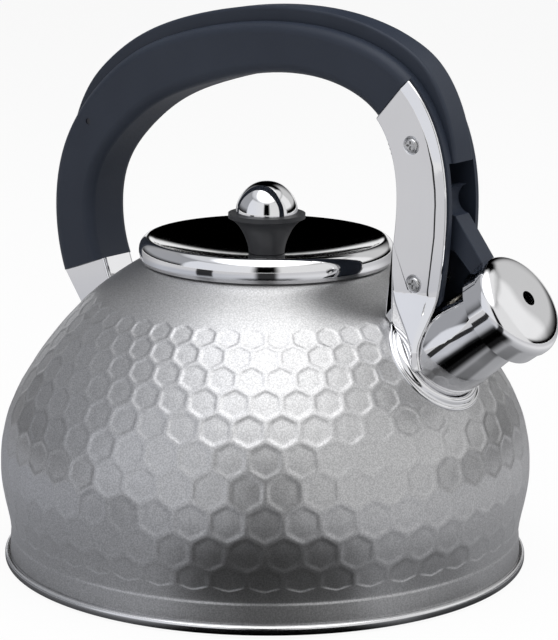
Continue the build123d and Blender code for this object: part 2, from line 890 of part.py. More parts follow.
def make_knob_pedestal():
    bore = knob_screw_r + fit_gap
    lip_low = knob_z + knob_height - knob_lip_h
    side = Spline(
        *flat([
            (knob_foot_r, knob_z),
            (knob_waist_r, knob_z + knob_waist_h),
            (knob_lip_r, lip_low),
        ]),
        tangents=[leaning(knob_foot_lean), leaning(knob_lip_lean)],
    )
    recess_r = knob_dome_r + fit_gap
    recess_z = knob_z + knob_height - knob_recess
    top = line_through(
        (knob_lip_r, lip_low), (knob_lip_r, knob_z + knob_height), (recess_r, knob_z + knob_height),
        (recess_r, recess_z), (bore, recess_z), (bore, knob_z), (knob_foot_r, knob_z),
    )
    return turned(region(side, *top))


def make_knob_dome():
    low = knob_z + knob_height - knob_recess + fit_gap
    waist = knob_z + knob_height
    top = low + knob_dome_h
    half_turn = math.sqrt(0.5)
    cover = Spline(
        *flat([
            (knob_dome_r, waist),
            (knob_dome_r * half_turn, waist + (top - waist) * half_turn),
            (0, top),
        ]),
        tangents=[(0, 0, 1), (-1, 0, 0)],
    )
    bore = knob_screw_r + fit_gap
    bore_top = low + knob_screw_grip + fit_gap
    rest = line_through(
        (0, top), (0, bore_top), (bore, bore_top), (bore, low), (knob_dome_r, low), (knob_dome_r, waist)
    )
    return turned(region(cover, *rest))


washer_top = dish_z - lid_wall - fit_gap


def make_knob_washer():
    return ring(knob_screw_r + fit_gap, washer_r, washer_top - washer_h, washer_top)


def make_knob_screw():
    seat = washer_top - washer_h - fit_gap
    top = knob_z + knob_height - knob_recess + fit_gap + knob_screw_grip
    return ring(0, knob_head_r, seat - knob_head_h, seat) + ring(0, knob_screw_r, seat, top)


def mirrored(shape):
    """The same piece on the -Y side."""
    return mirror(shape, about=Plane.XZ)


def both_sides(shapes):
    """A group of pieces and their mirror images."""
    return Compound([*shapes, *(mirrored(shape) for shape in shapes)])


def make_bracket_screws():
    return both_sides([make_screw(x, z) for x, z in screw_places])


def make_screw_sleeves():
    return Compound([make_sleeve(x, z) for x, z in screw_places])


def make_pivot_pin():
    return cross_rod(pivot_x, pivot_z, pivot_r, -core_half, core_half)


node_makers = {
    "body_shell": make_body_shell,
    "neck_collar": make_neck_collar,
    "base_pan": make_base_pan,
    "base_cap": make_base_cap,
    "heat_disc": make_heat_disc,
    "spout_tube": make_spout_tube,
    "spout_flange": make_spout_flange,
    "handle_grip": make_handle_grip,
    "handle_spine": make_handle_spine,
    "rear_bracket": make_rear_bracket,
    "rear_pin": make_rear_pin,
    "front_plate_left": make_bracket_plate,
    "front_plate_right": lambda: mirrored(make_bracket_plate()),
    "bracket_screws": make_bracket_screws,
    "screw_sleeves": make_screw_sleeves,
    "lever_pivot_pin": make_pivot_pin,
    "whistle_lever": make_lever,
    "lever_spring": make_spring,
    "whistle_cap": make_whistle_cap,
    "whistle_disc": make_whistle_disc,
    "cap_seal": make_cap_seal,
    "cap_screw": make_cap_screw,
    "lid_dish": make_lid_dish,
    "lid_skirt": make_lid_skirt,
    "knob_pedestal": make_knob_pedestal,
    "knob_dome": make_knob_dome,
    "knob_screw": make_knob_screw,
    "knob_washer": make_knob_washer,
}

os.makedirs("parts", exist_ok=True)
for node, maker in node_makers.items():
    export_step(maker(), f"parts/{node}.step")
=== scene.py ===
import json
import math

import bmesh
import bpy
import numpy as np
from mathutils import Matrix, Vector
from mathutils.bvhtree import BVHTree


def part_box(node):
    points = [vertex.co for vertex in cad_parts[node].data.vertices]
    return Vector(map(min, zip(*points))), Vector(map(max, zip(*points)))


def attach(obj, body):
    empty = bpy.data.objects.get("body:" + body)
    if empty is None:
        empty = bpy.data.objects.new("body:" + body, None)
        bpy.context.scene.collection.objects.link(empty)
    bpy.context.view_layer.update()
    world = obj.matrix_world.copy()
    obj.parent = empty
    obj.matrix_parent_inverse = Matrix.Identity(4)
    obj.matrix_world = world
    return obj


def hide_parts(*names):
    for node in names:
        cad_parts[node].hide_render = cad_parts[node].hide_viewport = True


# Stovetop whistling kettle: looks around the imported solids, in metres, +Z up, +X towards the spout.
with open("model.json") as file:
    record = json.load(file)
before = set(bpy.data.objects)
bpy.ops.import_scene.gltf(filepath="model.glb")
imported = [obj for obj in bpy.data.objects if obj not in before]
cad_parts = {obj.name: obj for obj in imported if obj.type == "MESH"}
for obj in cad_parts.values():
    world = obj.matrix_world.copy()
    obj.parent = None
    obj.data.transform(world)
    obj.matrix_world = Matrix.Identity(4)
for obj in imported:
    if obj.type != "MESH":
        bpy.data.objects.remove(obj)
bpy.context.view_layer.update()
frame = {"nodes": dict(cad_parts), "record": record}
nodes = frame["nodes"]
MM = 0.001

# Camera: where the photograph was taken from, with its focal length in pixels of a 558 by 640 picture
camera_azimuth = math.radians(37.7)
camera_reach = 1026.1 * MM
camera_height = 325.1 * MM
camera_pitch = math.radians(12.553)
camera_yaw = math.radians(0.285)
camera_roll = math.radians(0.386)
focal_pixels = 2636.3
picture_long_side = 640
sensor_size = 36.0

# Stage: the floor, how far it is lifted to plain white where it is seen, and the height that the lamps face
floor_reach = 6.0
floor_white = (0.92, 0.92, 0.92, 1)
floor_lift = 0.93
aim_height = 0.1

# Lamps: direction as seen from the camera (right, towards it, up), distance, width, height and brightness
lamps = {
    "soft_box_left": ((-0.71, 0.71, 0.42), 1.5, 1.9, 1.5, 0.85),
    "soft_box_right": ((0.71, 0.71, 0.42), 1.5, 1.9, 1.5, 0.75),
    "soft_box_side": ((0.95, -0.20, 0.50), 1.5, 1.4, 1.5, 0.85),
    "soft_box_top": ((0.0, 0.14, 1.0), 1.2, 1.4, 1.2, 2.6),
    "soft_box_rear_left": ((-0.80, -0.60, 0.55), 1.5, 1.2, 1.3, 0.55),
    "soft_box_rear_right": ((0.80, -0.60, 0.50), 1.5, 1.2, 1.2, 0.65),
}

# Room as metal shows it, cooler on the left. Each panel has its left, right, low and high edges and how
# soft they are across and upwards, in degrees round from the camera's side and up, and then its brightness.
# The key light is round, leans from overhead towards the camera, and fades between two angles.
room_reach = 3.0
room_steps = 64
room_dark = (0.022, 0.022, 0.024, 1)
room_left_tint = (0.92, 0.94, 1.0)
room_right_tint = (1.0, 1.0, 1.0)
room_tint_reach = (-2.5, 0.0)
room_panels = [
    (-80, -11, -8, 47, 4, 7, 0.92),
    (10, 80, -8, 47, 4, 7, 0.88),
    (70, 116, 8, 48, 12, 5, 1.00),
    (100, 152, 8, 48, 16, 5, 0.68),
    (-150, -70, 6, 50, 12, 8, 0.42),
    (-150, -50, 46, 80, 12, 8, 0.80),
    (50, 122, 46, 80, 8, 8, 0.95),
    (150, 200, -8, 9, 6, 2, 0.90),
    (-200, -150, -8, 9, 6, 2, 0.90),
]
key_lean = 15.0
key_spread = (20.0, 42.0)
key_level = 2.5

# Table as metal shows it, a painted reflection: its brightness close in and further out and where that
# changes, dimmed close in as painted shadow of the kettle, and its colours on the left, darker there as
# painted shade, on the right and far out. Each dark patch is painted shade in the reflection and has its left
# and right edges in degrees, its inner and outer edges in metres, how soft they are, and how much of the
# light it takes.
table_reach = (0.09, 2.0)
table_height = 0.3 * MM
table_steps = 96
table_glow = (0.48, 1.0)
table_glow_reach = (0.11, 0.30)
table_left_shade = (0.50, 0.52, 0.58)
table_right = (0.92, 0.92, 0.93)
table_side_reach = (-0.4, 0.4)
table_far = (0.70, 0.70, 0.72, 1)
table_far_reach = (0.35, 0.60)
table_patches = [
    # The first patch rings the pan's rim: painted shade under it.
    (-200, 200, 0.0, 0.112, 1, 0.005, 0.75),
    (-9, 9, 0.0, 1.6, 3, 0.05, 0.95),
    (-23, 26, 0.0, 0.25, 9, 0.07, 0.98),
    (34, 60, 0.0, 0.135, 5, 0.015, 0.55),
    (125, 200, 0.0, 3.0, 25, 0.1, 0.45),
    (-200, -125, 0.0, 3.0, 25, 0.1, 0.45),
    (-63, -47, 0.25, 1.9, 1.0, 0.05, 0.95),
]

# Spout axis, as in the solids, and the directions across it
spout_origin = Vector((100.0, 0, 106.0)) * MM
spout_tilt = math.radians(35.7)
spout_axis = Vector((math.cos(spout_tilt), 0, math.sin(spout_tilt)))
spout_across = Vector((0, 1, 0))
spout_above = spout_axis.cross(spout_across)

# Body: its wall, where its solid's outline is read (millimetres up, degrees round, and from how far out),
# and how finely the new surface follows it
wall = 0.7 * MM
outline_heights = [2.5, 7, 12, 18, 26, 34, 42, 52, 64, 76, 88, 98, 107, 114, 119, 122.4]
probe_angles = range(80, 104, 2)
probe_start = 0.3
outline_samples = 1200
shoulder_steps = 10
inside_rings = 60

# Cells: their count, where one of them sits, their depth, and their rings as shares of their size and depth.
# The plain shoulder starts a margin above them, in cell widths, and they fade out towards the spout's flange.
# Points within a hair of a row's outer side lie on it.
cells_round = 48
cell_rows = 10
row_step = math.sqrt(3) / 2
anchor_row = 5
anchor_height = 66.3 * MM
cell_angle = math.radians(-52.3)
cell_depth = 0.24 * MM
side_steps = 4
ring_sizes = [0.94, 0.89, 0.83, 0.76, 0.69, 0.61, 0.40]
ring_depths = [0.00, 0.10, 0.38, 0.70, 0.92, 1.00, 0.98]
corner_round = 0.20
flat_margin = 0.30
flange_fade = (21.0 * MM, 28.0 * MM)
hair = 1e-6

# Front plates: rounding along their edges and creases, and the least angle between faces that is rounded.
# Points in nearly one place and faces nearly in line are joined first.
plate_round = 0.55 * MM
plate_round_steps = 4
plate_crease = math.radians(9)
plate_flat = math.radians(1)
weld_distance = 0.01 * MM

# Plain band at the foot: the cells' zone draws in above it, and their lowest row is cut short
band_top = 12.6 * MM
band_edge = 1.2 * MM
band_draw = 0.2 * MM
band_fade = 8.0 * MM
band_heights = [13.5, 13.0, 12.6, 12.4, 12.2, 12.0, 11.8, 11.6, 11.4, 11.0, 9.0, 7.0, 5.0, 2.5]
foot_squeeze = 0.5

# Spout's hole and flange: where the surface is looked for along the spout, and, for each point of the
# flange's beads, how far out from the tube it is and how far it rises, in millimetres
spout_hole_r = 16.8 * MM
hole_snap = 1.4 * MM
spout_search = (-45 * MM, 30 * MM)
search_steps = 40
flange_inner_r = 17.25 * MM
flange_beads = [
    (5.2, -0.4), (5.2, 0.4), (4.95, 0.78), (4.5, 0.95), (4.05, 0.85), (3.75, 0.58), (3.45, 0.48),
    (3.15, 0.62), (2.9, 1.1), (2.5, 1.75), (1.95, 2.2), (1.3, 2.35), (0.75, 2.15), (0.4, 1.7),
    (0.05, 1.1), (0.05, -0.4),
]
flange_steps = 160

# Base pan: its wall, its rolled rim, and the groove for the body's foot, measured in from the rim's edge
pan_wall = 0.8 * MM
pan_middle_r = 0.01 * MM
rim_width = 4.43 * MM
rim_round = 1.4 * MM
rim_arc_steps = 12
rim_steps = 288
groove_outer = 1.93 * MM
groove_inner = 2.83 * MM
groove_floor = 1.7 * MM

# Least angle between faces that shows as an edge on the flange and the pan
sharp_edge = math.radians(40)


def link(obj):
    """Puts a new object into the scene."""
    bpy.context.scene.collection.objects.link(obj)
    return obj


def new_piece(name, mesh, body, material):
    """A new piece that rides on a body, with its material."""
    piece = link(bpy.data.objects.new(name, mesh))
    mesh.materials.clear()
    mesh.materials.append(material)
    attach(piece, body)
    return piece


def bridge(mesh, a, b):
    """Joins two rings of as many points with a band of faces."""
    for i in range(len(a)):
        j = (i + 1) % len(a)
        mesh.faces.new((a[i], a[j], b[j], b[i]))


def smooth_data(name, mesh):
    """The finished data of a mesh, smooth and with its faces outwards."""
    bmesh.ops.recalc_face_normals(mesh, faces=mesh.faces)
    for face in mesh.faces:
        face.smooth = True
    data = bpy.data.meshes.new(name)
    mesh.to_mesh(data)
    mesh.free()
    return data


# Materials
def shader(name, **values):
    """A material with its main shader's sockets set, and the nodes to add to."""
    material = bpy.data.materials.new(name)
    material.use_nodes = True
    main = material.node_tree.nodes["Principled BSDF"]
    for socket, value in values.items():
        main.inputs[socket.replace("_", " ")].default_value = value
    return material, material.node_tree, main


def grain(tree, scale, detail=2.0):
    """Even noise through the piece, in its own coordinates."""
    where = tree.nodes.new("ShaderNodeTexCoord")
    texture = tree.nodes.new("ShaderNodeTexNoise")
    texture.inputs["Scale"].default_value = scale
    texture.inputs["Detail"].default_value = detail
    tree.links.new(where.outputs["Object"], texture.inputs["Vector"])
    return texture.outputs["Fac"]


def spread(tree, source, low, high, start=0.3, end=0.7):
    """A value that runs from low to high as the source runs from start to end."""
    node = tree.nodes.new("ShaderNodeMapRange")
    node.inputs["From Min"].default_value = start
    node.inputs["From Max"].default_value = end
    node.inputs["To Min"].default_value = low
    node.inputs["To Max"].default_value = high
    tree.links.new(source, node.inputs["Value"])
    return node.outputs["Result"]


def tint(tree, source, dark, light, start=0.3, end=0.7):
    """A colour between two, by the source."""
    node = tree.nodes.new("ShaderNodeValToRGB")
    node.color_ramp.elements[0].position = start
    node.color_ramp.elements[0].color = (*dark, 1)
    node.color_ramp.elements[1].position = end
    node.color_ramp.elements[1].color = (*light, 1)
    tree.links.new(source, node.inputs["Fac"])
    return node.outputs["Color"]


def maths(tree, operation, *values):
    """The result of one step of arithmetic, from numbers and other results."""
    node = tree.nodes.new("ShaderNodeMath")
    node.operation = operation
    for socket, value in zip(node.inputs, values):
        if isinstance(value, (int, float)):
            socket.default_value = value
        else:
            tree.links.new(value, socket)
    return node.outputs["Value"]


def ramp(tree, source, start, end):
    """Runs from zero to one with soft ends as the source runs from start to end."""
    node = tree.nodes.new("ShaderNodeMapRange")
    node.interpolation_type = "SMOOTHSTEP"
    node.inputs["From Min"].default_value = start
    node.inputs["From Max"].default_value = end
    tree.links.new(source, node.inputs["Value"])
    return node.outputs["Result"]


def patch(tree, across, out, edges, level):
    """A level inside a patch that fades to zero outside it."""
    left, right, low, high, soft_across, soft_out = edges
    inside = maths(tree, "MULTIPLY", ramp(tree, across, left - soft_across, left + soft_across), level)
    inside = maths(tree, "MULTIPLY", ramp(tree, across, right + soft_across, right - soft_across), inside)
    inside = maths(tree, "MULTIPLY", ramp(tree, out, low - soft_out, low + soft_out), inside)
    return maths(tree, "MULTIPLY", ramp(tree, out, high + soft_out, high - soft_out), inside)


def bump(tree, main, source, strength, distance):
    """Small relief on the main shader."""
    node = tree.nodes.new("ShaderNodeBump")
    node.inputs["Strength"].default_value = strength
    node.inputs["Distance"].default_value = distance
    tree.links.new(source, node.inputs["Height"])
    tree.links.new(node.outputs["Normal"], main.inputs["Normal"])


def pewter_paint():
    """Grey metallic paint with a fine bright grain."""
    material, tree, main = shader("pewter_paint", Metallic=0.95)
    flakes = grain(tree, 1900, 1.0)
    colour = tint(tree, flakes, (0.40, 0.40, 0.405), (0.56, 0.56, 0.565), 0.36, 0.64)
    tree.links.new(colour, main.inputs["Base Color"])
    tree.links.new(spread(tree, grain(tree, 60), 0.34, 0.39), main.inputs["Roughness"])
    bump(tree, main, flakes, 0.05, 0.0001)
    return material


def polished_steel():
    """Mirror-polished metal with faint smudges."""
    material, tree, main = shader("polished_steel", Metallic=1.0)
    clouds = grain(tree, 45, 3.0)
    colour = tint(tree, clouds, (0.776, 0.776, 0.7857), (0.80, 0.80, 0.81))
    tree.links.new(colour, main.inputs["Base Color"])
    tree.links.new(spread(tree, clouds, 0.045, 0.075), main.inputs["Roughness"])
    return material


def satin_steel():
    """Turned steel with a fine satin grain."""
    material, tree, main = shader("satin_steel", Metallic=1.0, Anisotropic=0.5)
    marks = grain(tree, 700, 1.0)
    tree.links.new(tint(tree, marks, (0.73, 0.73, 0.74), (0.75, 0.75, 0.76)), main.inputs["Base Color"])
    tree.links.new(spread(tree, marks, 0.19, 0.22), main.inputs["Roughness"])
    return material


def soft_plastic(name, dark, light, low, high):
    """Moulded plastic with a fine soft-touch grain."""
    material, tree, main = shader(name, Specular_IOR_Level=0.3)
    texture = grain(tree, 2200, 2.0)
    tree.links.new(tint(tree, grain(tree, 30, 3.0), dark, light), main.inputs["Base Color"])
    tree.links.new(spread(tree, texture, low, high), main.inputs["Roughness"])
    bump(tree, main, texture, 0.06, 0.0001)
    return material


def mill_metal(name, dark, light, low, high):
    """Plain machined metal."""
    material, tree, main = shader(name, Metallic=1.0)
    marks = grain(tree, 700, 2.0)
    tree.links.new(tint(tree, marks, dark, light), main.inputs["Base Color"])
    tree.links.new(spread(tree, marks, low, high), main.inputs["Roughness"])
    return material


finishes = {
    "embossed_coat": pewter_paint(),
    "satin_steel": satin_steel(),
    "polished_steel": polished_steel(),
    "plain_steel": mill_metal("plain_steel", (0.50, 0.50, 0.50), (0.66, 0.66, 0.66), 0.20, 0.30),
    "aluminium_core": mill_metal("aluminium_core", (0.70, 0.70, 0.71), (0.80, 0.80, 0.81), 0.35, 0.45),
    "soft_black": soft_plastic("soft_black", (0.016, 0.021, 0.033), (0.021, 0.027, 0.041), 0.42, 0.54),
    "knob_black": soft_plastic("knob_black", (0.030, 0.031, 0.034), (0.038, 0.039, 0.043), 0.38, 0.48),
    "brass_insert": mill_metal("brass_insert", (0.50, 0.47, 0.40), (0.60, 0.56, 0.48), 0.24, 0.34),
    "grey_silicone": soft_plastic("grey_silicone", (0.24, 0.24, 0.25), (0.30, 0.30, 0.31), 0.55, 0.65),
}
# Painted shade: the rear pin is coloured near black for the shade in its hole.
pin_painted_shade = mill_metal("pin_painted_shade", (0.05, 0.05, 0.055), (0.07, 0.07, 0.075), 0.40, 0.50)


def dress_nodes():
    """Gives every solid its slot's finish, but paints the rear pin near black for the shade in its hole, and
    rounds the plates' edges.
    """
    for entry in frame["record"]["subparts"]:
        mesh = nodes[entry["node"]].data
        mesh.materials.clear()
        mesh.materials.append(pin_painted_shade if entry["node"] == "rear_pin" else finishes[entry["material_slot"]])
    for name in ("front_plate_left", "front_plate_right"):
        weld = nodes[name].modifiers.new("weld", "WELD")
        weld.merge_threshold = weld_distance
        flat = nodes[name].modifiers.new("flat_faces", "DECIMATE")
        flat.decimate_type = "DISSOLVE"
        flat.angle_limit = plate_flat
        edge = nodes[name].modifiers.new("soft_edge", "BEVEL")
        edge.width = plate_round
        edge.segments = plate_round_steps
        edge.use_clamp_overlap = False
        edge.limit_method = "ANGLE"
        edge.angle_limit = plate_crease
        nodes[name].modifiers.new("even_light", "WEIGHTED_NORMAL")


# Body: the solid's outline, carried round with the hexagon relief
def body_outline():
    """Heights and outside radii of the body, read from its solid away from the spout."""
    solid = nodes["body_shell"].data
    tree = BVHTree.FromPolygons([v.co for v in solid.vertices], [p.vertices for p in solid.polygons])
    heights = [z * MM for z in outline_heights]
    radii = []
    for height in heights:
        found = 0.0
        for angle in map(math.radians, probe_angles):
            out = Vector((math.cos(angle), math.sin(angle), 0))
            place = tree.ray_cast(out * probe_start + Vector((0, 0, height)), -out)[0]
            found = max(found, math.hypot(place.x, place.y))
        radii.append(found)
    return np.array(heights), np.array(radii)


def smooth_curve(x, y):
    """Natural cubic curve through points: returns a function for the value and one for the slope."""
    gap = np.diff(x)
    count = len(x)
    matrix = np.eye(count)
    right = np.zeros(count)
    for i in range(1, count - 1):
        matrix[i, i - 1:i + 2] = gap[i - 1], 2 * (gap[i - 1] + gap[i]), gap[i]
        right[i] = 6 * ((y[i + 1] - y[i]) / gap[i] - (y[i] - y[i - 1]) / gap[i - 1])
    bend = np.linalg.solve(matrix, right)

    def parts(at):
        i = np.clip(np.searchsorted(x, at) - 1, 0, count - 2)
        return i, (x[i + 1] - at) / gap[i], (at - x[i]) / gap[i]

    def value(at):
        i, a, b = parts(at)
        curve = (a ** 3 - a) * bend[i] + (b ** 3 - b) * bend[i + 1]
        return a * y[i] + b * y[i + 1] + curve * gap[i] ** 2 / 6

    def slope(at):
        i, a, b = parts(at)
        curve = (3 * b ** 2 - 1) * bend[i + 1] - (3 * a ** 2 - 1) * bend[i]
        return (y[i + 1] - y[i]) / gap[i] + curve * gap[i] / 6

    return value, slope


def smooth_step(low, high, at):
    """Runs from zero to one with soft ends."""
    share = min(1.0, max(0.0, (at - low) / (high - low)))
    return share * share * (3 - 2 * share)


class BodySurface:
    """Places on the body: turns counted in cells, and rows counted in cell widths up the outline."""

    def __init__(self):
        heights, radii = body_outline()
        self.radius, self.slope = smooth_curve(heights, radii)
        self.z = np.linspace(heights[0], heights[-1], outline_samples)
        r = self.radius(self.z)
        length = np.sqrt(1 + self.slope(self.z) ** 2)
        per_metre = cells_round / (2 * math.pi) * length / r
        middle = (per_metre[1:] + per_metre[:-1]) / 2
        self.rise = np.concatenate([[0], np.cumsum(middle * np.diff(self.z))])
        self.anchor = float(np.interp(anchor_height, self.z, self.rise))

    def row(self, index):
        """How far up the middle of a row is, counted from the top row."""
        return self.anchor + (anchor_row - index) * row_step

    def rise_at(self, height):
        """How far up a height is."""
        return float(np.interp(height, self.z, self.rise))

    def draw(self, z):
        """How far the surface draws in above the plain band at the foot."""
        if z < band_top:
            return band_draw * smooth_step(band_top - band_edge, band_top, z)
        return band_draw * (1 - smooth_step(band_top, band_top + band_fade, z))

    def land(self, out, around, depth=0.0):
        """The point under the surface on a line along the spout, at a distance and an angle from its axis."""
        start = spout_origin + (spout_across * math.cos(around) + spout_above * math.sin(around)) * out
        low, high = spout_search
        for _ in range(search_steps):
            middle = (low + high) / 2
            point = start + spout_axis * middle
            z = min(max(point.z, float(self.z[0])), float(self.z[-1]))
            size = math.hypot(1, float(self.slope(z)))
            inside = math.hypot(point.x, point.y) < float(self.radius(z)) - depth * size
            if inside and point.z <= self.z[-1]:
                low = middle
            else:
                high = middle
        return start + spout_axis * low

    def place(self, turn, rise, depth=0.0):
        """The point at a turn and rise, a depth under the surface."""
        z = float(np.interp(rise, self.rise, self.z))
        r = float(self.radius(z))
        slope = float(self.slope(z))
        size = math.hypot(1, slope)
        angle = cell_angle + turn * 2 * math.pi / cells_round
        depth += self.draw(z)
        r -= depth / size
        z += depth * slope / size
        return Vector((r * math.cos(angle), r * math.sin(angle), z))


def from_spout(point):
    """Distance of a point from the spout's axis."""
    offset = point - spout_origin
    return (offset - spout_axis * offset.dot(spout_axis)).length


def open_spout(mesh, surface, outer_skin):
    """Opens the body's wall under the spout. Points near the hole's edge move onto it first."""
    gone = set()
    for point in mesh.verts:
        distance = from_spout(point.co)
        if point.co.x < 0 or distance > spout_hole_r + hole_snap:
            continue
        gone.add(point)
        if distance > spout_hole_r - hole_snap:
            offset = point.co - spout_origin
            around = math.atan2(offset.dot(spout_above), offset.dot(spout_across))
            depth = 0.0 if point in outer_skin else wall + cell_depth
            point.co = surface.land(spout_hole_r, around, depth)
    faces = [face for face in mesh.faces if all(point in gone for point in face.verts)]
    bmesh.ops.delete(mesh, geom=faces, context="FACES")
    edges = [edge for edge in mesh.edges if edge.is_boundary]
    bmesh.ops.bridge_loops(mesh, edges=edges)


def build_body(surface):
    """The body's thin wall, with its cells pressed in outside and the spout's hole through it."""
    mesh = bmesh.new()
    known = {}
    corner_size = 1 / math.sqrt(3)
    corners = [Vector((math.cos(a), math.sin(a))) * corner_size for a in
               (math.radians(30 + 60 * k) for k in range(6))]

    def vertex(turn, rise, depth=0.0):
        """The point at a place, which cells that meet there share."""
        key = (round(turn % cells_round, 4) % cells_round, round(rise, 4), round(depth, 7))
        if key not in known:
            top = surface.place(turn, rise)
            fade = smooth_step(*flange_fade, from_spout(top))
            known[key] = mesh.verts.new(surface.place(turn, rise, depth * fade))
        return known[key]

    outline = []
    for k in range(6):
        for step in range(side_steps):
            outline.append(corners[k].lerp(corners[(k + 1) % 6], step / side_steps))
    mean_size = sum(p.length for p in outline) / len(outline)
    top_edge = {}
    low_edge = {}
    for row in range(cell_rows):
        rise = surface.row(row)
        shift = 0.5 * ((row + 1) % 2)
        squeeze = foot_squeeze if row == cell_rows - 1 else 1.0
        for cell in range(cells_round):
            turn = cell + shift
            rings = [[vertex(turn + p.x, rise + p.y * (squeeze if p.y < 0 else 1)) for p in outline]]
            for size, depth in zip(ring_sizes, ring_depths):
                ring = []
                for p in outline:
                    rounded = p.lerp(p.normalized() * mean_size, corner_round) * size
                    rounded.y *= squeeze if p.y < 0 else 1
                    ring.append(vertex(turn + rounded.x, rise + rounded.y, depth * cell_depth))
                rings.append(ring)
            for a, b in zip(rings, rings[1:]):
                bridge(mesh, a, b)
            middle = vertex(turn, rise, ring_depths[-1] * cell_depth)
            last = rings[-1]
            for i in range(len(outline)):
                mesh.faces.new((last[i], last[(i + 1) % len(outline)], middle))
            for p, corner in zip(outline, rings[0]):
                key = round((turn + p.x) % cells_round, 4) % cells_round
                if row == 0 and p.y > corner_size / 2 - hair:
                    top_edge[key] = corner
                if row == cell_rows - 1 and p.y < -corner_size / 2 + hair:
                    low_edge[key] = corner
    turns = sorted(top_edge)
    shifted = sorted(low_edge)

    def band(rise, at):
        """A ring of points on the surface."""
        return [vertex(turn, rise) for turn in at]

    def turned(radius, height, at):
        """A round ring of new points."""
        ring = []
        for turn in at:
            angle = cell_angle + turn * 2 * math.pi / cells_round
            ring.append(mesh.verts.new((radius * math.cos(angle), radius * math.sin(angle), height)))
        return ring

    # Plain bands above and below the cells
    last_z = surface.z[-1]
    first_z = surface.z[0]
    start = surface.row(0) + corner_size + flat_margin
    end = surface.rise_at(last_z)
    upper = [[top_edge[t] for t in turns]]
    for step in range(shoulder_steps + 1):
        upper.append(band(start + (end - start) * step / shoulder_steps, turns))
    lower = [[low_edge[t] for t in shifted]]
    lower += [band(surface.rise_at(z * MM), shifted) for z in band_heights]
    for a, b in zip(upper, upper[1:]):
        bridge(mesh, a, b)
    for a, b in zip(lower, lower[1:]):
        bridge(mesh, a, b)
    # The inside, from just under the mouth down to the foot
    outer_skin = set(known.values())
    inside = []
    for z in np.linspace(last_z - 2 * wall, first_z, inside_rings):
        size = math.hypot(1, float(surface.slope(z)))
        depth = wall * size + cell_depth + surface.draw(float(z))
        inside.append(turned(float(surface.radius(z)) - depth, float(z), turns))
    bridge(mesh, upper[-1], inside[0])
    for a, b in zip(inside, inside[1:]):
        bridge(mesh, a, b)
    bridge(mesh, inside[-1], lower[-1])
    open_spout(mesh, surface, outer_skin)
    data = smooth_data("embossed_body", mesh)
    piece = new_piece("embossed_body", data, "kettle", finishes["embossed_coat"])
    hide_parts("body_shell")


def grid_piece(name, rings, slot_name, node):
    """A closed piece of rings of points joined to each other, in place of a solid of the kettle."""
    mesh = bmesh.new()
    loops = [[mesh.verts.new(point) for point in ring] for ring in rings]
    for a, b in zip(loops, loops[1:] + loops[:1]):
        bridge(mesh, a, b)
    data = smooth_data(name, mesh)
    data.set_sharp_from_angle(angle=sharp_edge)
    piece = new_piece(name, data, "kettle", finishes[slot_name])
    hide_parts(node)


def build_flange(surface):
    """The spout's flange: rolled beads that follow the body round the tube."""
    rings = []
    for out, rise in flange_beads:
        ring = []
        for step in range(flange_steps):
            around = 2 * math.pi * step / flange_steps
            ring.append(surface.land(flange_inner_r + out * MM, around) + spout_axis * rise * MM)
        rings.append(ring)
    grid_piece("rolled_flange", rings, "polished_steel", "spout_flange")


def build_rim():
    """The pan with its rolled rim, turned finely from the solid's box."""
    low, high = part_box("base_pan")
    edge = high[0]
    bottom = low[2]
    top = high[2]
    under = top - pan_wall
    outline = [(pan_middle_r, under), (edge - rim_width, under), (edge - rim_width, bottom)]
    for centre, start in ((bottom + rim_round, -90), (top - rim_round, 0)):
        for step in range(rim_arc_steps + 1):
            angle = math.radians(start + 90 * step / rim_arc_steps)
            radius = edge - rim_round + rim_round * math.cos(angle)
            outline.append((radius, centre + rim_round * math.sin(angle)))
    outline += [(edge - groove_outer, top), (edge - groove_outer, bottom + groove_floor)]
    outline += [(edge - groove_inner, bottom + groove_floor), (edge - groove_inner, top), (pan_middle_r, top)]
    angles = [2 * math.pi * step / rim_steps for step in range(rim_steps)]
    rings = []
    for radius, height in outline:
        rings.append([Vector((radius * math.cos(a), radius * math.sin(a), height)) for a in angles])
    grid_piece("turned_pan", rings, "satin_steel", "base_pan")


# Stage, light and camera
def stage_floor():
    """A large white floor. Where it is seen it is lifted to white, and it keeps part of the shadow."""
    material, tree, main = shader("floor_white", Roughness=0.8, Base_Color=floor_white)
    glow = tree.nodes.new("ShaderNodeEmission")
    path = tree.nodes.new("ShaderNodeLightPath")
    mix = tree.nodes.new("ShaderNodeMixShader")
    seen = maths(tree, "MAXIMUM", path.outputs["Is Camera Ray"], path.outputs["Is Glossy Ray"])
    seen = maths(tree, "MAXIMUM", seen, path.outputs["Is Transmission Ray"])
    tree.links.new(maths(tree, "MULTIPLY", seen, floor_lift), mix.inputs["Fac"])
    tree.links.new(main.outputs["BSDF"], mix.inputs[1])
    tree.links.new(glow.outputs["Emission"], mix.inputs[2])
    tree.links.new(mix.outputs["Shader"], tree.nodes["Material Output"].inputs["Surface"])
    mesh = bpy.data.meshes.new("floor")
    corners = [(x * floor_reach, y * floor_reach, 0) for x, y in ((-1, -1), (1, -1), (1, 1), (-1, 1))]
    mesh.from_pydata(corners, [], [(0, 1, 2, 3)])
    mesh.materials.append(material)
    link(bpy.data.objects.new("floor", mesh))


def towards(right, front, up):
    """A direction given as seen from the camera: to the right, towards it and up."""
    ahead = Vector((math.sin(camera_azimuth), -math.cos(camera_azimuth), 0))
    side = Vector((math.cos(camera_azimuth), math.sin(camera_azimuth), 0))
    return side * right + ahead * front + Vector((0, 0, up))


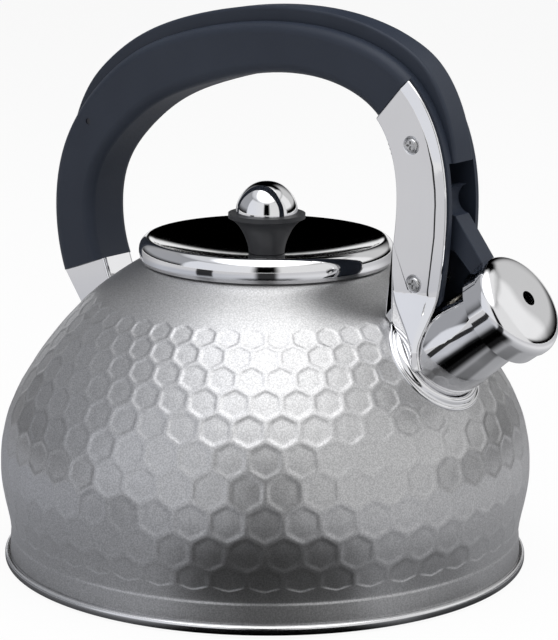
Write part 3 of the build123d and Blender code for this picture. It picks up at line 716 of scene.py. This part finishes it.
def stage_place(tree):
    """A stage piece's point, its distance to the right, its angle round, its distance out and its height."""
    where = tree.nodes.new("ShaderNodeTexCoord").outputs["Object"]
    parts = tree.nodes.new("ShaderNodeSeparateXYZ")
    tree.links.new(where, parts.inputs["Vector"])
    x, y, z = parts.outputs["X"], parts.outputs["Y"], parts.outputs["Z"]
    around = maths(tree, "DEGREES", maths(tree, "ARCTAN2", x, maths(tree, "MULTIPLY", y, -1.0)))
    squares = maths(tree, "ADD", maths(tree, "MULTIPLY", x, x), maths(tree, "MULTIPLY", y, y))
    return where, x, around, maths(tree, "SQRT", squares), z


def only_reflected(name, mesh, material, strength, colour):
    """A glowing stage piece that only reflections see, turned to the camera's side."""
    tree = material.node_tree
    glow = tree.nodes.new("ShaderNodeEmission")
    tree.links.new(strength, glow.inputs["Strength"])
    tree.links.new(colour, glow.inputs["Color"])
    tree.links.new(glow.outputs["Emission"], tree.nodes["Material Output"].inputs["Surface"])
    mesh.materials.append(material)
    piece = link(bpy.data.objects.new(name, mesh))
    piece.rotation_euler = (0, 0, camera_azimuth)
    piece.visible_camera = False
    piece.visible_diffuse = False
    piece.visible_shadow = False
    return piece


def reflected_table():
    """The table as metal shows it, a painted reflection: dim close to the kettle as painted shadow, brighter
    further out, and darker and cooler on the left as painted shade.
    """
    material, tree, _ = shader("reflected_table")
    _, x, around, out, _ = stage_place(tree)
    level = spread(tree, out, *table_glow, *table_glow_reach)
    side = tint(tree, spread(tree, x, 0.0, 1.0, *table_side_reach), table_left_shade, table_right, 0.0, 1.0)
    colour = tree.nodes.new("ShaderNodeMix")
    colour.data_type = "RGBA"
    colour.inputs["B"].default_value = table_far
    tree.links.new(spread(tree, out, 0.0, 1.0, *table_far_reach), colour.inputs["Factor"])
    tree.links.new(side, colour.inputs["A"])
    for *edges, taken in table_patches:
        kept = maths(tree, "SUBTRACT", 1.0, patch(tree, around, out, edges, taken))
        level = maths(tree, "MULTIPLY", level, kept)
    mesh = bpy.data.meshes.new("reflected_table")
    turns = [2 * math.pi * step / table_steps for step in range(table_steps)]
    corners = [(math.sin(a) * r, math.cos(a) * r, table_height) for a in turns for r in table_reach]
    faces = []
    for i in range(table_steps):
        j = (i + 1) % table_steps
        faces.append((2 * i, 2 * i + 1, 2 * j + 1, 2 * j))
    mesh.from_pydata(corners, [], faces)
    only_reflected("reflected_table", mesh, material, level, colour.outputs["Result"])


def reflected_room():
    """The studio's soft panels and its light overhead, as metal shows them."""
    material, tree, _ = shader("reflected_room")
    where, x, around, out, z = stage_place(tree)
    up = maths(tree, "DEGREES", maths(tree, "ARCTAN2", z, out))
    lean = math.radians(key_lean)
    facing = tree.nodes.new("ShaderNodeVectorMath")
    facing.operation = "DOT_PRODUCT"
    facing.inputs[1].default_value = (0, -math.sin(lean) / room_reach, math.cos(lean) / room_reach)
    tree.links.new(where, facing.inputs[0])
    off = maths(tree, "DEGREES", maths(tree, "ARCCOSINE", facing.outputs["Value"]))
    level = maths(tree, "MULTIPLY", ramp(tree, off, key_spread[1], key_spread[0]), key_level)
    for *edges, bright in room_panels:
        level = maths(tree, "MAXIMUM", level, patch(tree, around, up, edges, bright))
    ball = bmesh.new()
    bmesh.ops.create_uvsphere(ball, u_segments=room_steps, v_segments=room_steps // 2, radius=room_reach)
    mesh = bpy.data.meshes.new("reflected_room")
    ball.to_mesh(mesh)
    ball.free()
    across = spread(tree, x, 0.0, 1.0, *room_tint_reach)
    colour = tint(tree, across, room_left_tint, room_right_tint, 0.0, 1.0)
    only_reflected("reflected_room", mesh, material, level, colour).location = (0, 0, aim_height)


def soft_box(name, direction, distance, width, height, level):
    """A soft lamp that faces the kettle and that metal doesn't show. At level 1 it would look white."""
    aim = direction.normalized()
    lamp = bpy.data.lights.new(name, "AREA")
    lamp.shape = "RECTANGLE"
    lamp.size = width
    lamp.size_y = height
    lamp.energy = level * math.pi * width * height
    holder = link(bpy.data.objects.new(name, lamp))
    holder.location = Vector((0, 0, aim_height)) + aim * distance
    holder.rotation_mode = "QUATERNION"
    holder.rotation_quaternion = (-aim).to_track_quat("-Z", "Y")
    holder.visible_camera = False
    holder.visible_glossy = False


def light_studio():
    """The lamps, what metal shows of the table and the room, and the dark beyond."""
    for name, (direction, *sizes) in lamps.items():
        soft_box(name, towards(*direction), *sizes)
    reflected_table()
    reflected_room()
    world = bpy.data.worlds.new("studio")
    bpy.context.scene.world = world
    world.use_nodes = True
    world.node_tree.nodes["Background"].inputs["Color"].default_value = room_dark


def place_camera():
    """The camera, where the photograph was taken from."""
    data = bpy.data.cameras.new("camera")
    data.sensor_width = sensor_size
    data.lens = focal_pixels / picture_long_side * sensor_size
    camera = link(bpy.data.objects.new("camera", data))
    level = math.cos(camera_pitch)
    ahead = Vector((math.sin(camera_yaw) * level, math.cos(camera_yaw) * level, -math.sin(camera_pitch)))
    side = Vector((math.cos(camera_yaw), -math.sin(camera_yaw), 0))
    above = side.cross(ahead)
    right = side * math.cos(camera_roll) + above * math.sin(camera_roll)
    up = above * math.cos(camera_roll) - side * math.sin(camera_roll)
    turn = Matrix.Rotation(camera_azimuth, 3, "Z")
    columns = Matrix((turn @ right, turn @ up, turn @ -ahead)).transposed()
    place = turn @ Vector((0, -camera_reach, camera_height))
    camera.matrix_world = Matrix.Translation(place) @ columns.to_4x4()
    bpy.context.scene.camera = camera


dress_nodes()
body_surface = BodySurface()
build_body(body_surface)
build_flange(body_surface)
build_rim()
stage_floor()
light_studio()
place_camera()
bpy.context.scene.view_settings.view_transform = "Standard"
